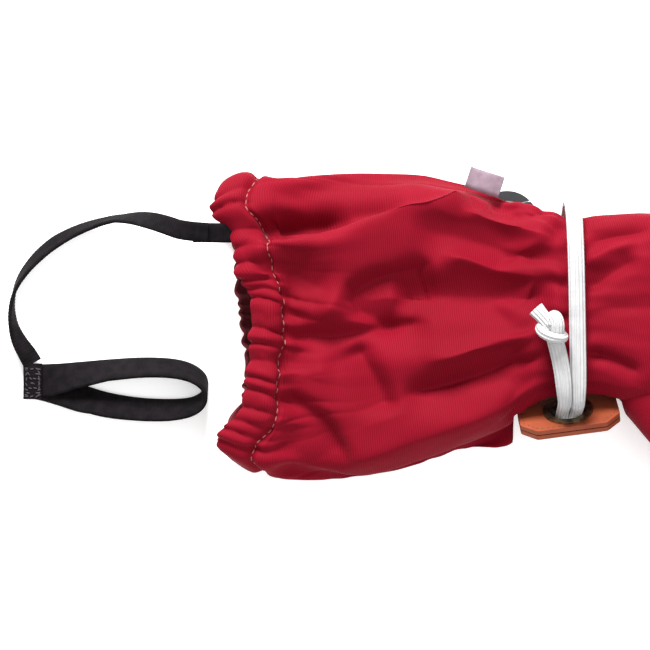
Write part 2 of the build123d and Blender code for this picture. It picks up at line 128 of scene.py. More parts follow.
def finish_mesh(mesh):
    bm = bmesh.new()
    bm.from_mesh(mesh)
    bmesh.ops.recalc_face_normals(bm, faces=bm.faces)
    bm.to_mesh(mesh)
    bm.free()
    mesh.shade_smooth()


def run_along(points):
    """Distance from the first point of a line to each of its points."""
    return np.concatenate([[0.0], np.cumsum(np.linalg.norm(np.diff(points, axis=0), axis=1))])


def grid_piece(name, rows, material, ends=(True, True)):
    """A mesh piece from a grid of points in millimetres: rows along, columns around.

    The two values of ends say whether the first and the last row are closed. The map called
    cloth is unrolled from the middle row, at one unit to a millimetre.
    """
    rows = np.asarray(rows, float)
    nu, nv, _ = rows.shape
    verts = (rows.reshape(-1, 3) * MM).tolist()
    faces = []
    uvs = []
    mid = rows[nu // 2]
    across = run_along(np.vstack([mid, mid[:1]]))
    steps = np.linalg.norm(np.diff(rows, axis=0), axis=2).mean(axis=1)
    along = np.concatenate([[0.0], np.cumsum(steps)])
    for i in range(nu - 1):
        for j in range(nv):
            k = (j + 1) % nv
            faces.append((i * nv + j, i * nv + k, (i + 1) * nv + k, (i + 1) * nv + j))
            uvs += [
                (along[i], across[j]),
                (along[i], across[j + 1]),
                (along[i + 1], across[j + 1]),
                (along[i + 1], across[j]),
            ]
    for closed, i in zip(ends, (0, nu - 1)):
        if closed:
            centre = rows[i].mean(axis=0) * MM
            verts.append(centre.tolist())
            c = len(verts) - 1
            for j in range(nv):
                faces.append((i * nv + j, i * nv + (j + 1) % nv, c))
                uvs += [(along[i], across[j]), (along[i], across[j + 1]), (along[i], across[j])]
    mesh = bpy.data.meshes.new(name)
    mesh.from_pydata(verts, [], faces)
    layer = mesh.uv_layers.new(name="cloth")
    layer.data.foreach_set("uv", np.array(uvs, float).ravel())
    finish_mesh(mesh)
    mesh.materials.append(material)
    return link(name, mesh)


def route_points(points, spacing=0.5):
    """Even points, in millimetres, along the smooth line that a list of route points makes."""
    curve = bpy.data.curves.new("route", "CURVE")
    curve.dimensions = "3D"
    spline = curve.splines.new("NURBS")
    spline.points.add(len(points) - 1)
    for point, place in zip(spline.points, points):
        point.co = (place[0] * MM, place[1] * MM, place[2] * MM, 1.0)
    spline.order_u = 3
    spline.use_endpoint_u = True
    spline.resolution_u = 24
    obj = link("route", curve)
    mesh = bpy.data.meshes.new_from_object(obj.evaluated_get(bpy.context.evaluated_depsgraph_get()))
    line = np.array([v.co[:] for v in mesh.vertices]) / MM
    bpy.data.objects.remove(obj)
    bpy.data.curves.remove(curve)
    bpy.data.meshes.remove(mesh)
    run = run_along(line)
    count = max(int(run[-1] / spacing), 4)
    even = np.linspace(0.0, run[-1], count + 1)
    return np.stack([np.interp(even, run, line[:, k]) for k in range(3)], axis=1)


def tangents(line):
    t = np.gradient(line, axis=0)
    return t / np.linalg.norm(t, axis=1)[:, None]


def carried_frames(line, first):
    """Across vectors carried along a line without twist, starting from the first one."""
    out = []
    a = np.array(first, float)
    for d in tangents(line):
        a = a - d * a.dot(d)
        a /= np.linalg.norm(a)
        out.append(a)
    return np.array(out)


def profile_sweep(line, across, profile):
    """Rows of points: a profile of (across, up) offsets at every point of a line."""
    t = tangents(line)
    up = np.cross(t, across)
    return line[:, None] + across[:, None] * profile[..., :1] + up[:, None] * profile[..., 1:]


def rounded_band(width, thickness, corner=4):
    """Outline of a flat band's section with round edges."""
    r = thickness / 2.0
    flat = width / 2.0 - r
    outline = []
    for side in (1, -1):
        for i in range(corner + 1):
            a = -math.pi / 2 + math.pi * i / corner
            outline.append((side * (flat + r * math.cos(a)), side * r * math.sin(a)))
        for i in range(1, 6):
            outline.append((side * flat * (1 - 2 * i / 6), side * r))
    return np.array(outline)


# Materials -----------------------------------------------------------------------------------

def material(name, colour, roughness, **values):
    mat = bpy.data.materials.new(name)
    mat.use_nodes = True
    nodes = mat.node_tree.nodes
    shader = nodes["Principled BSDF"]
    shader.inputs["Base Color"].default_value = (*colour, 1.0)
    shader.inputs["Roughness"].default_value = roughness
    for key, value in values.items():
        socket = shader.inputs[key.replace("_", " ").title().replace("Ior", "IOR")]
        socket.default_value = value
    return mat, mat.node_tree, shader


def add_node(tree, kind, **values):
    node = tree.nodes.new(kind)
    for key, value in values.items():
        if hasattr(node, key) and key not in node.inputs:
            setattr(node, key, value)
        else:
            node.inputs[key].default_value = value
    return node


def colour_patches(tree, shader, vector, scale, colours, detail=3.0):
    """Uneven colour: a soft noise between the stated colours."""
    cloud = add_node(tree, "ShaderNodeTexNoise", Scale=scale, Detail=detail)
    tree.links.new(vector, cloud.inputs["Vector"])
    ramp = tree.nodes.new("ShaderNodeValToRGB")
    ramp.color_ramp.elements[0].position = 0.32
    ramp.color_ramp.elements[1].position = 0.68
    ramp.color_ramp.elements[0].color = (*colours[0], 1.0)
    ramp.color_ramp.elements[1].color = (*colours[1], 1.0)
    tree.links.new(cloud.outputs["Fac"], ramp.inputs["Fac"])
    tree.links.new(ramp.outputs["Color"], shader.inputs["Base Color"])


def bump_from(tree, shader, height, strength, distance, before=None):
    bump = add_node(tree, "ShaderNodeBump", Strength=strength, Distance=distance)
    tree.links.new(height, bump.inputs["Height"])
    if before is not None:
        tree.links.new(before.outputs["Normal"], bump.inputs["Normal"])
    tree.links.new(bump.outputs["Normal"], shader.inputs["Normal"])
    return bump


def texture_bump(tree, shader, place, kind, scale, strength, distance, before=None, **values):
    """A bump from a noise or cell texture laid through the piece."""
    texture = add_node(tree, kind, Scale=scale, **values)
    tree.links.new(place, texture.inputs["Vector"])
    height = texture.outputs["Distance" if kind == CELLS else "Fac"]
    return bump_from(tree, shader, height, strength, distance, before)


def cloth_weave(tree, period, turn):
    """Ribs on the piece's own cloth map: their distance in millimetres and their turn in radians."""
    uv = add_node(tree, "ShaderNodeUVMap", uv_map="cloth")
    place = tree.nodes.new("ShaderNodeMapping")
    place.inputs["Rotation"].default_value = (0.0, 0.0, turn)
    place.inputs["Scale"].default_value = (1.0 / period, 1.0 / period, 1.0)
    tree.links.new(uv.outputs["UV"], place.inputs["Vector"])
    rib = add_node(tree, "ShaderNodeTexWave", Scale=ONE_WAVE, Distortion=0.6, Detail=1.0)
    rib.inputs["Detail Scale"].default_value = 3.0
    tree.links.new(place.outputs["Vector"], rib.inputs["Vector"])
    return rib.outputs["Fac"]


def tint_ribs(tree, shader, rib, colour, amount):
    """Lighter threads along the ribs of a weave."""
    before = shader.inputs["Base Color"].links[0].from_socket
    share = add_node(tree, "ShaderNodeMath", operation="MULTIPLY")
    share.inputs[1].default_value = amount
    blend = add_node(tree, "ShaderNodeMix", data_type="RGBA")
    factor, first, second = (blend.inputs[i] for i in (0, 6, 7))
    tree.links.new(rib, share.inputs[0])
    tree.links.new(share.outputs[0], factor)
    tree.links.new(before, first)
    second.default_value = (*colour, 1.0)
    tree.links.new(blend.outputs[2], shader.inputs["Base Color"])


def patched(name, colour, roughness, scale, patches, detail=3.0, **values):
    """A material of uneven colour, with its tree, its shader and the piece's own space."""
    mat, tree, shader = material(name, colour, roughness, **values)
    place = tree.nodes.new("ShaderNodeTexCoord").outputs["Object"]
    colour_patches(tree, shader, place, scale, patches, detail)
    return mat, tree, shader, place


def shell_cloth():
    mat, tree, shader, place = patched(
        "shell_twill", (0.20, 0.003, 0.012), 0.72,
        38.0, ((0.128, 0.0006, 0.0055), (0.155, 0.0010, 0.008)),
        sheen_weight=0.03, sheen_roughness=0.4, sheen_tint=(1.0, 0.45, 0.5, 1.0),
        specular_ior_level=0.05,
    )
    twill = cloth_weave(tree, 0.8, 0.14)
    tint_ribs(tree, shader, twill, (0.25, 0.010, 0.026), 0.34)
    fine = bump_from(tree, shader, twill, 0.22, 0.00012)
    texture_bump(tree, shader, place, NOISE, 1500.0, 0.25, 0.0001, fine, Detail=2.0)
    return mat


def braid_cloth():
    mat, tree, shader, _ = patched(
        "cord_braid", (0.44, 0.44, 0.44), 0.8, 260.0, ((0.40, 0.40, 0.405), (0.47, 0.47, 0.475)),
        sheen_weight=0.03, specular_ior_level=0.15,
    )
    first = bump_from(tree, shader, cloth_weave(tree, 1.25, math.pi / 2), 0.7, 0.0005)
    bump_from(tree, shader, cloth_weave(tree, 0.6, 0.8), 0.3, 0.00015, first)
    return mat


def woven(look, period, turn, strength, distance):
    """A look with one weave on it."""
    mat, tree, shader, _ = look
    bump_from(tree, shader, cloth_weave(tree, period, turn), strength, distance)
    return mat


def plain_thread(name, colour):
    return patched(name, colour, 0.7, 900.0, (tuple(0.8 * c for c in colour), colour))[0]


def tan_leather():
    mat, tree, shader, place = patched(
        "tan_leather", (0.22, 0.05, 0.025), 0.55, 90.0, ((0.20, 0.038, 0.014), (0.27, 0.058, 0.022)),
        5.0, specular_ior_level=0.25,
    )
    first = texture_bump(tree, shader, place, CELLS, 1100.0, 0.35, 0.0002)
    texture_bump(tree, shader, place, NOISE, 420.0, 0.3, 0.0003, first, Detail=5.0)
    return mat


def black_leather():
    mat, tree, shader, place = patched(
        "palm_grip", (0.03, 0.028, 0.03), 0.6, 120.0, ((0.022, 0.02, 0.022), (0.04, 0.037, 0.038)),
    )
    texture_bump(tree, shader, place, CELLS, 900.0, 0.5, 0.0003)
    return mat


def antique_brass():
    mat, tree, shader, place = patched(
        "antique_brass", (0.45, 0.34, 0.19), 0.38, 350.0, ((0.10, 0.065, 0.035), (0.34, 0.25, 0.14)),
        4.0, metallic=1.0,
    )
    texture_bump(tree, shader, place, NOISE, 700.0, 0.15, 0.0001, Detail=4.0)
    return mat


def smooth_plastic(name, colour, roughness):
    mat, tree, shader, place = patched(
        name, colour, roughness, 200.0, (colour, tuple(1.7 * c for c in colour)),
    )
    texture_bump(tree, shader, place, NOISE, 800.0, 0.1, 0.0001, Detail=2.0)
    return mat


SHELL = shell_cloth()
LINING = woven(patched(
    "lining_cloth", (0.07, 0.001, 0.004), 0.85, 70.0, ((0.09, 0.0012, 0.005), (0.13, 0.002, 0.008)),
    sheen_weight=0.05,
), period=0.8, turn=-0.6, strength=0.4, distance=0.0002)
THREAD = plain_thread("hem_thread", (0.30, 0.10, 0.09))
TAN_THREAD = plain_thread("tan_thread", (0.16, 0.045, 0.018))
DARK_THREAD = plain_thread("black_thread", (0.03, 0.025, 0.03))
BRAID = braid_cloth()
WEBBING = woven(patched(
    "black_webbing", (0.006, 0.0045, 0.006), 0.7, 300.0, ((0.0025, 0.002, 0.0025), (0.007, 0.005, 0.0065)),
    specular_ior_level=0.06,
), period=0.5, turn=0.0, strength=0.5, distance=0.0002)
TAN = tan_leather()
PALM = black_leather()
BRASS = antique_brass()
RUBBER = smooth_plastic("grip_rubber", (0.012, 0.012, 0.012), 0.7)
PLASTIC = smooth_plastic("black_plastic", (0.010, 0.010, 0.012), 0.25)
LABEL = woven(patched(
    "label_satin", (0.36, 0.26, 0.32), 0.5, 400.0, ((0.16, 0.105, 0.135), (0.21, 0.14, 0.175)),
    sheen_weight=0.2,
), period=0.35, turn=0.0, strength=0.4, distance=0.0001)


# Camera, floor and light ---------------------------------------------------------------------

CAMERA_PLACE = (-0.1575, -0.0025, 1.2)
CAMERA_LENS = 181.5
SENSOR_WIDTH = 36.0
FLOOR_REACH = 3.0
LAMPS_AIM = Vector((-0.11, 0.0, 0.0))
LAMPS = (
    # name, place, size, power
    ("key_light", (-0.30, 0.95, 0.62), 0.40, 34.0),
    ("fill_light", (0.3, -0.4, 1.2), 1.4, 10.0),
)


def flat_square(name, reach):
    """A level square at height zero."""
    mesh = bpy.data.meshes.new(name)
    corners = [(-reach, -reach, 0), (reach, -reach, 0), (reach, reach, 0), (-reach, reach, 0)]
    mesh.from_pydata(corners, [], [(0, 1, 2, 3)])
    return mesh


def studio():
    camera = bpy.data.cameras.new("camera")
    camera.lens = CAMERA_LENS
    camera.sensor_width = SENSOR_WIDTH
    eye = link("camera", camera)
    eye.location = CAMERA_PLACE
    bpy.context.scene.camera = eye

    floor = flat_square("floor", FLOOR_REACH)
    paper, _, _ = material(
        "white_paper", (0.90, 0.90, 0.90), 0.9,
        emission_color=(1.0, 1.0, 1.0, 1.0), emission_strength=0.34,
    )
    floor.materials.append(paper)
    link("floor", floor)

    bpy.context.scene.view_settings.view_transform = "Standard"
    world = bpy.data.worlds.new("studio")
    world.use_nodes = True
    sky = world.node_tree.nodes["Background"]
    sky.inputs["Color"].default_value = (1.0, 1.0, 1.0, 1.0)
    sky.inputs["Strength"].default_value = 0.72
    bpy.context.scene.world = world
    for name, place, size, power in LAMPS:
        lamp = bpy.data.lights.new(name, "AREA")
        lamp.size = size
        lamp.energy = power
        obj = link(name, lamp)
        obj.location = place
        aim = LAMPS_AIM - Vector(place)
        obj.rotation_euler = aim.to_track_quat("-Z", "Y").to_euler()


studio()


# Wrist cord: flat ribbed braid, knotted at its free end ---------------------------------------

CORD_WIDTH = 6.0
CORD_THICKNESS = 3.2
LOCK_Y = -35.0
RISE = (0.30, 0.954)
UNDER_Z = 3.3
TOP_Z = 36.7
KNOT = (-77.5, -3.0, 41.5)


def in_eyelet(x, z):
    return (x, LOCK_Y + RISE[0] / RISE[1] * (z - SEAM_Z), z)


CORD_ROUTE = [
    (-63.8, 12.0, UNDER_Z),
    in_eyelet(-67.4, UNDER_Z),
    in_eyelet(-67.4, 9.0),
    in_eyelet(-67.4, 20.0),
    in_eyelet(-67.4, 30.0),
    in_eyelet(-67.4, TOP_Z),
    (-68.6, 41.2, TOP_Z),
    (-68.8, 41.2, UNDER_Z),
    in_eyelet(-72.2, UNDER_Z),
    in_eyelet(-72.2, 9.0),
    in_eyelet(-72.2, 20.0),
    in_eyelet(-72.2, 30.0),
    in_eyelet(-72.2, TOP_Z + 0.4),
    (-73.8, -15.0, TOP_Z + 2.6),
    KNOT,
]


# Points of the knot and of the cut end, each as a step from the knot's centre. It is an overhand
# knot pulled tight: it runs up from the standing part, over, and round its neck.
KNOT_STEPS = [
    (1.4, -6.6, -1.6), (2.2, -2.2, 1.4), (2.0, 2.4, 1.8), (0.2, 4.2, -0.8), (-0.6, 1.6, -3.0),
    (2.8, -2.6, -2.6), (4.0, -4.0, 0.2), (0.6, -4.2, 2.9), (-3.0, -2.6, 1.8), (-3.6, -0.6, -1.0),
    (-0.4, 0.6, -2.2), (1.6, 0.6, -0.4), (-1.2, 2.0, 0.6),
]
END_STEPS = [(0.5, -0.5, 0.5), (-2.4, 2.8, 0.3), (-5.4, 6.2, -0.8)]
BRAID_RIB = 1.7
BRAID_SWELL = 0.06
CORD_SPACING = 0.4
KNOT_SPACING = 0.3
LOCK_SQUEEZE = 0.24  # share of the cord's width that the lock presses in
LOCK_SPREAD = 7.0


def braid_profile(count, width, thickness, spacing):
    """The braid's flat oval section, a little fuller at each rib."""
    angle = np.linspace(0.0, 2 * math.pi, 28, endpoint=False)
    flat = np.stack([np.cos(angle), np.sin(angle)], axis=1)
    flat = np.sign(flat) * np.abs(flat) ** 0.8
    out = []
    for i in range(count):
        swell = BRAID_SWELL * abs(math.sin(math.pi * i * spacing / BRAID_RIB)) - BRAID_SWELL / 2
        out.append(flat * ((width / 2 + 0.5 * swell), (thickness / 2 + swell)))
    return np.array(out)


def from_knot(steps):
    return [tuple(k + s for k, s in zip(KNOT, step)) for step in steps]


def wrist_cord():
    line = route_points(CORD_ROUTE, CORD_SPACING)
    across = np.tile(np.array([[1.0, 0.0, 0.0]]), (len(line), 1))
    t = tangents(line)
    across -= t * (across * t).sum(axis=1)[:, None]
    across /= np.linalg.norm(across, axis=1)[:, None]
    outline = braid_profile(len(line), CORD_WIDTH, CORD_THICKNESS, CORD_SPACING)
    squeeze = np.exp(-((line[:, 1] - LOCK_Y - 1.0) / LOCK_SPREAD) ** 2)
    outline[:, :, 0] *= (1.0 - LOCK_SQUEEZE * squeeze)[:, None]
    piece = grid_piece("wrist_cord_braid", profile_sweep(line, across, outline), BRAID)
    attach(piece, "mitten")
    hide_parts("wrist_cord")

    knot_line = route_points(from_knot(KNOT_STEPS), KNOT_SPACING)
    frames = carried_frames(knot_line, (1.0, 0.0, 0.0))
    outline = braid_profile(len(knot_line), 5.0, 3.4, KNOT_SPACING)
    rows = profile_sweep(knot_line, frames, outline)
    knot = grid_piece("cord_overhand_knot", rows, BRAID)
    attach(knot, "mitten")
    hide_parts("cord_knot")

    end_line = route_points(from_knot(END_STEPS), KNOT_SPACING)
    frames = carried_frames(end_line, (0.7, 0.7, 0.0))
    outline = braid_profile(len(end_line), 5.2, 3.0, KNOT_SPACING)
    flare = 1.0 + 0.12 * smooth((np.arange(len(end_line)) / len(end_line) - 0.6) / 0.4)
    outline[:, :, 0] *= flare[:, None]
    end = grid_piece("cord_cut_end", profile_sweep(end_line, frames, outline), BRAID)
    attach(end, "mitten")
    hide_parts("cord_tail")


wrist_cord()


# Leash: narrow ribbed strap, then a wide elastic loop -----------------------------------------

STRAP_WIDTH = 7.0
STRAP_THICKNESS = 1.4
STITCH = (-264.3, -23.0)
STRAP_END_Z = 2.9

# Route points of the strap with the roll of its width, in degrees.
STRAP_ROUTE = [
    (HEM_X - 3.0, 30.4, 33.5, 0),
    (HEM_X - 12.0, 30.9, 33.5, 0),
    (-214.0, 33.2, 30.0, 10),
    (-219.8, 35.0, 23.8, 25),
    (-226.0, 36.3, 16.0, 50),
    (-232.0, 36.4, 9.0, 72),
    (-238.5, 35.3, 5.4, 70),
    (-247.0, 32.6, 4.1, 60),
    (-255.7, 28.2, 3.8, 52),
    (-262.5, 22.6, 3.9, 56),
    (-268.0, 16.0, 4.2, 68),
    (-271.0, 9.8, 4.4, 84),
    (-272.0, 3.0, 4.4, 96),
    (-271.2, -3.2, 4.2, 112),
    (-269.0, -8.8, 3.9, 136),
    (-266.2, -13.0, 3.4, 160),
    (STITCH[0], STITCH[1] + 6.5, STRAP_END_Z, 180),
]
LOOP_WIDTH = 12.0
LOOP_THICKNESS = 1.5

# Middle line of the loop's lower rim, with the lean of its width from the floor, in degrees.
LOOP_ROUTE = [
    (STITCH[0] - 2.0, STITCH[1] + 6.0, 1.2, 2),
    (STITCH[0] + 5.0, STITCH[1] + 6.2, 1.2, 8),
    (-248.0, -16.2, 0.9, 38),
    (-236.0, -15.2, 0.8, 52),
    (-222.0, -14.4, 0.8, 56),
    (-209.0, -15.4, 0.8, 58),
    (-201.6, -19.5, 0.9, 60),
    (-200.4, -25.0, 0.9, 60),
    (-204.6, -29.2, 0.9, 58),
    (-214.0, -30.0, 0.8, 52),
    (-228.0, -29.2, 0.8, 48),
    (-243.0, -26.0, 0.8, 40),
    (STITCH[0] + 6.0, STITCH[1] + 4.6, 0.8, 6),
    (STITCH[0] - 1.0, STITCH[1] + 5.6, 0.8, 2),
]


def along_angles(line, route):
    """The stated angles carried onto the even points of the line."""
    stated = np.array(route, float)
    run = run_along(stated[:, :3])
    place = np.linspace(0.0, 1.0, len(line))
    return np.radians(np.interp(place, run / run[-1], stated[:, 3]))

STRAP_SPACING = 0.35
STRAP_RIB = 1.25
TAB_LINE = [
    (HEM_X - 8.6, 30.4, 31.6), (HEM_X - 3.0, 30.4, 31.4), (HEM_X + 3.5, 30.4, 29.6),
    (HEM_X + 10.0, 30.4, 27.6),
]


def ribbed_band(count, spread=0.0):
    """Sections of the strap, thicker at each rib, and wider there by the stated spread."""
    outline = np.repeat(rounded_band(STRAP_WIDTH, STRAP_THICKNESS)[None], count, axis=0)
    ribs = 0.16 * np.abs(np.sin(math.pi * np.arange(count) * STRAP_SPACING / STRAP_RIB)) - 0.08
    outline[:, :, 1] *= (1.0 + ribs / (STRAP_THICKNESS / 2))[:, None]
    outline[:, :, 0] *= (1.0 + spread * ribs / STRAP_WIDTH)[:, None]
    return outline


def box_stitches():
    """A thread square with its two diagonals, sewn through the strap's end."""
    top = STRAP_END_Z + STRAP_THICKNESS / 2 + 0.15
    half_w, half_l = STRAP_WIDTH / 2 - 1.2, 5.0
    x, y = STITCH[0] + 0.1, STITCH[1] - 0.6
    corners = [
        (x - half_w, y - half_l, top), (x + half_w, y - half_l, top),
        (x + half_w, y + half_l, top), (x - half_w, y + half_l, top),
    ]
    cross = corners + [corners[0], corners[2], corners[1], corners[3]]
    return stitch_row("leash_box_stitches", [cross], DARK_THREAD, 1.5, 1.9, 0.26)


def leash_strap():
    line = route_points([p[:3] for p in STRAP_ROUTE], STRAP_SPACING)
    roll = along_angles(line, STRAP_ROUTE)
    t = tangents(line)
    level = np.stack([-t[:, 1], t[:, 0], np.zeros(len(t))], axis=1)
    level /= np.linalg.norm(level, axis=1)[:, None]
    over = np.cross(t, level)
    across = level * np.cos(roll)[:, None] + over * np.sin(roll)[:, None]
    rows = profile_sweep(line, across, ribbed_band(len(line), 0.3))
    strap = grid_piece("leash_ribbed_strap", rows, WEBBING)
    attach(strap, "leash")
    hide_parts("leash_strap")

    end_line = route_points([
        (STITCH[0], STITCH[1] + 6.5, STRAP_END_Z),
        (STITCH[0] + 0.2, STITCH[1], STRAP_END_Z + 0.1),
        (STITCH[0], STITCH[1] - 6.6, STRAP_END_Z),
    ], STRAP_SPACING)
    across = np.tile(np.array([[1.0, 0.0, 0.0]]), (len(end_line), 1))
    rows = profile_sweep(end_line, across, ribbed_band(len(end_line)))
    end = grid_piece("leash_strap_end", rows, WEBBING)
    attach(end, "leash")
    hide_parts("leash_box_stitch")
    box = box_stitches()
    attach(box, "leash")


def elastic_loop():
    rim = route_points([p[:3] for p in LOOP_ROUTE], 0.5)
    lean = along_angles(rim, LOOP_ROUTE)
    across = np.stack([np.zeros(len(rim)), -np.cos(lean), np.sin(lean)], axis=1)
    middle = rim + across * LOOP_WIDTH / 2
    normal = np.cross(tangents(rim), across)
    normal /= np.linalg.norm(normal, axis=1)[:, None]
    band = rounded_band(LOOP_WIDTH, LOOP_THICKNESS)
    rows = middle[:, None] + across[:, None] * band[None, :, :1] + normal[:, None] * band[None, :, 1:]
    rows[:, :, 2] = np.maximum(rows[:, :, 2], 0.25)
    loop = grid_piece("leash_elastic_loop", rows, WEBBING)
    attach(loop, "wrist_loop")
    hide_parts("leash_wrist_loop")


def hem_tab():
    """The strap's start, sewn under the hem."""
    line = route_points(TAB_LINE, STRAP_SPACING)
    across = np.tile(np.array([[0.0, 1.0, 0.0]]), (len(line), 1))
    outline = np.repeat(rounded_band(STRAP_WIDTH, 1.5)[None], len(line), axis=0)
    tab = grid_piece("leash_hem_tab", profile_sweep(line, across, outline), WEBBING)
    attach(tab, "mitten")
    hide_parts("leash_anchor")


# Stitches by geometry nodes -------------------------------------------------------------------

def stitch_tree():
    """Thread stitches along a line: named inputs for their length, pitch and thickness."""
    tree = bpy.data.node_groups.new("stitch_line", "GeometryNodeTree")
    face = tree.interface
    face.new_socket(name="Geometry", in_out="INPUT", socket_type="NodeSocketGeometry")
    for name in ("Stitch Length", "Pitch", "Thread Radius"):
        face.new_socket(name=name, in_out="INPUT", socket_type="NodeSocketFloat")
    face.new_socket(name="Thread", in_out="INPUT", socket_type="NodeSocketMaterial")
    face.new_socket(name="Geometry", in_out="OUTPUT", socket_type="NodeSocketGeometry")
    nodes = tree.nodes
    start = nodes.new("NodeGroupInput")
    finish = nodes.new("NodeGroupOutput")
    line = nodes.new("GeometryNodeMeshToCurve")
    dots = nodes.new("GeometryNodeCurveToPoints")
    dots.mode = "LENGTH"
    bead = nodes.new("GeometryNodeMeshUVSphere")
    bead.inputs["Segments"].default_value = 6
    bead.inputs["Rings"].default_value = 5
    bead.inputs["Radius"].default_value = 1.0
    half = nodes.new("ShaderNodeMath")
    half.operation = "MULTIPLY"
    half.inputs[1].default_value = 0.5
    size = nodes.new("ShaderNodeCombineXYZ")
    put = nodes.new("GeometryNodeInstanceOnPoints")
    real = nodes.new("GeometryNodeRealizeInstances")
    coat = nodes.new("GeometryNodeSetMaterial")
    for source, given, target, taken in (
        (start, "Geometry", line, "Mesh"),
        (line, "Curve", dots, "Curve"),
        (start, "Pitch", dots, "Length"),
        (dots, "Points", put, "Points"),
        (dots, "Rotation", put, "Rotation"),
        (bead, "Mesh", put, "Instance"),
        (start, "Stitch Length", half, 0),
        (start, "Thread Radius", size, "X"),
        (start, "Thread Radius", size, "Y"),
        (half, 0, size, "Z"),
        (size, 0, put, "Scale"),
        (put, "Instances", real, "Geometry"),
        (real, "Geometry", coat, "Geometry"),
        (start, "Thread", coat, "Material"),
        (coat, "Geometry", finish, "Geometry"),
    ):
        tree.links.new(source.outputs[given], target.inputs[taken])
    return tree


STITCHES = stitch_tree()


def stitch_row(name, lines, thread, length, pitch, radius):
    """A plain mesh of stitches along one or more lines of points in millimetres."""
    verts, edges = [], []
    for points in lines:
        base = len(verts)
        verts += [tuple(MM * c for c in p) for p in points]
        edges += [(base + i, base + i + 1) for i in range(len(points) - 1)]
    mesh = bpy.data.meshes.new(name)
    mesh.from_pydata(verts, edges, [])
    guide = link(name + "_guide", mesh)
    modifier = guide.modifiers.new("stitches", "NODES")
    modifier.node_group = STITCHES
    names = {s.name: s.identifier for s in STITCHES.interface.items_tree if s.in_out == "INPUT"}
    modifier[names["Stitch Length"]] = length * MM
    modifier[names["Pitch"]] = pitch * MM
    modifier[names["Thread Radius"]] = radius * MM
    modifier[names["Thread"]] = thread
    evaluated = guide.evaluated_get(bpy.context.evaluated_depsgraph_get())
    made = bpy.data.meshes.new_from_object(evaluated)
    made.name = name
    bpy.data.objects.remove(guide)
    made.shade_smooth()
    return link(name, made)


leash_strap()
elastic_loop()
hem_tab()


# Shell of the cuff and hand --------------------------------------------------------------------

TOP_EDGE = curve_through([
    (-200, 47), (-193, 49.4), (-186, 51), (-150, 50.4), (-133, 51.6), (-124, 52.6), (-111, 51.2),
    (-104, 50.0), (-98, 46.8), (-92, 43.9), (-86, 42.4), (-81, 40.6), (-77, 38.4), (-72, 35.6),
    (-67, 35.2), (-60, 36.4), (-50, 37.2), (-40, 37.9), (-28, 39.8), (-5, 41.8), (22, 41.4),
    (40, 36.5), (54, 28), (63, 18.5), (68, 9.5), (69.8, 2.5),
])
LOW_EDGE = curve_through([
    (-200, -49), (-193, -51), (-186, -54.6), (-178, -57.6), (-165, -58.8), (-150, -58.6),
    (-137.5, -57.0), (-126, -54.2), (-115, -50.8), (-104.6, -47.2), (-96.4, -43.8), (-91, -40.0),
    (-86, -35.0), (-81, -30.0), (-76, -27.8), (-68, -27.0), (-60, -27.6), (-50, -29.6),
    (-40, -31.8), (-28, -36.0), (-8, -41.6), (22, -41.6), (40, -36.8), (54, -28), (63, -17.5),
    (68, -8), (69.8, -1.5),
])
TOP_Z_CURVE = curve_through([
    (-200, 31.0), (-190, 34.0), (-175, 37.0), (-150, 38.0), (-120, 37.6), (-100, 36.6), (-86, 35.0),
    (-77, 33.6), (-70, 33.0), (-63, 33.6), (-54, 35.2), (-44, 36.8), (-25, 38.0), (35, 37.2), (52, 33.5),
    (63, 28.5), (68, 24.0), (69.8, 21.2),
])
LOW_Z_CURVE = curve_through([
    (-200, 5.5), (-190, 2.6), (-178, 0.9), (-120, 0.9), (-104, 3.7), (-86, 5.0), (-77, 6.4), (-63, 6.4),
    (-50, 4.2), (-34, 1.5), (36, 1.5), (50, 4.8), (62, 10.5), (68, 16.0), (69.8, 18.8),
])

# How far the palm side bulges out below the back near the lock.
LOWER_LOBE = curve_through([
    (-156, 0), (-148, 1.0), (-140, 4.4), (-131, 7.6), (-124, 6.4), (-119, 4.8), (-112, 5.4),
    (-104.6, 7.4), (-98, 9.2), (-93, 11.2), (-88.5, 12.4), (-85, 10.0), (-81, 3.0), (-78, 0), (-60, 0),
])

# Hem line: how far the cuff's edge reaches at each place across it, on the back and the palm.
BACK_HEM = curve_through([
    (-60, -184), (-51, -191), (-45, -196), (-40, -194.5), (-34, -188.6), (-27, -186.2), (-18, -185.4),
    (-6, -184.2), (5, -183.8), (17, -189), (26, -190.2), (32, -193), (38, -198), (43.6, -197.2),
    (49.5, -192.5), (54, -188),
])
PALM_HEM = curve_through([
    (-60, -184), (-51, -191), (-45, -196), (-38, -193.5), (-30, -187.6), (-15, -186.6), (0, -188.6),
    (14, -190.4), (26, -191), (32, -193), (38, -198), (43.6, -197.2), (49.5, -192.5), (54, -188),
])

